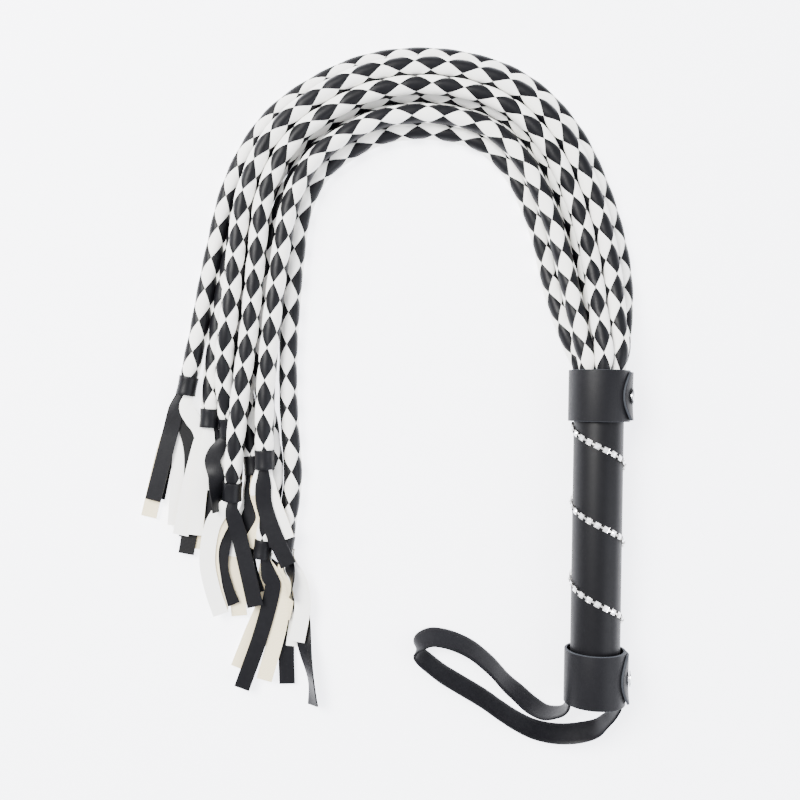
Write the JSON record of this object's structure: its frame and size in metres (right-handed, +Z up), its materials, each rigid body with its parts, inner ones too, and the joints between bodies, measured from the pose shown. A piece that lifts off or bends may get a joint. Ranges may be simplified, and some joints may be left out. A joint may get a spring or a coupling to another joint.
{
  "type": "braided multi-tail whip",
  "caption": "Short handled whip with round braided leather tails, fringed ends, snap collars, a wound crystal chain and a wrist loop.",
  "frame": {"origin": "centre of the flat butt face of the handle", "axes": "+Y along the handle from the butt to the tails, +Z up from the surface it lies on, +X to the right seen from above with the tails ahead"},
  "size_m": [0.2777, 0.3881, 0.0332],
  "materials": {
    "black_leather": "satin grained",
    "braided_leather": "black and white strips, satin",
    "white_leather": "satin",
    "dowel_wood": "plain",
    "snap_chrome": "polished",
    "chain_silver": "polished, with clear stones"
  },
  "bodies": {
    "handle": {"handle_core": "dowel_wood", "butt_disc": "black_leather", "grip_wrap": "black_leather", "root_bundle": "black_leather", "crystal_chain": "chain_silver", "upper_collar_band": "black_leather", "upper_snap_stud": "snap_chrome", "lower_collar_band": "black_leather", "lower_snap_stud": "snap_chrome", "strap_end_right": "black_leather", "strap_end_left": "black_leather"},
    "upper_flap": {"upper_collar_flap": "black_leather", "upper_snap_cap": "snap_chrome", "upper_snap_socket": "snap_chrome"},
    "lower_flap": {"lower_collar_flap": "black_leather", "lower_snap_cap": "snap_chrome", "lower_snap_socket": "snap_chrome"},
    "wrist_loop": {"wrist_strap": "black_leather"},
    "tails": {"tail_a": "braided_leather", "tail_b": "braided_leather", "tail_c": "braided_leather", "tail_d": "braided_leather", "tail_e": "braided_leather", "tail_f": "braided_leather", "tail_g": "braided_leather", "tail_h": "braided_leather", "binder_a": "black_leather", "binder_b": "black_leather", "binder_c": "black_leather", "binder_d": "black_leather", "binder_e": "black_leather", "binder_f": "black_leather", "binder_g": "black_leather", "binder_h": "black_leather", "fringe_a": "white_leather", "fringe_b": "white_leather", "fringe_c": "white_leather", "fringe_d": "white_leather", "fringe_e": "white_leather", "fringe_f": "white_leather", "fringe_g": "white_leather", "fringe_h": "white_leather"}
  },
  "joints": [
    {"name": "tails_swing", "type": "hinge", "parent": "handle", "child": "tails", "pos_m": [0, 0.18, -0.0166], "axis": [-1, 0, 0], "range_deg": [0, 35]},
    {"name": "wrist_loop_swing", "type": "hinge", "parent": "handle", "child": "wrist_loop", "pos_m": [0, -0.0095, 0], "axis": [-1, 0, 0], "range_deg": [-45, 110]},
    {"name": "upper_flap_hinge", "type": "hinge", "parent": "handle", "child": "upper_flap", "pos_m": [0.01245, 0.166, -0.01245], "axis": [0, 1, 0], "range_deg": [0, 75]},
    {"name": "lower_flap_hinge", "type": "hinge", "parent": "handle", "child": "lower_flap", "pos_m": [0.01245, 0.0125, -0.01245], "axis": [0, 1, 0], "range_deg": [0, 75]}
  ]
}
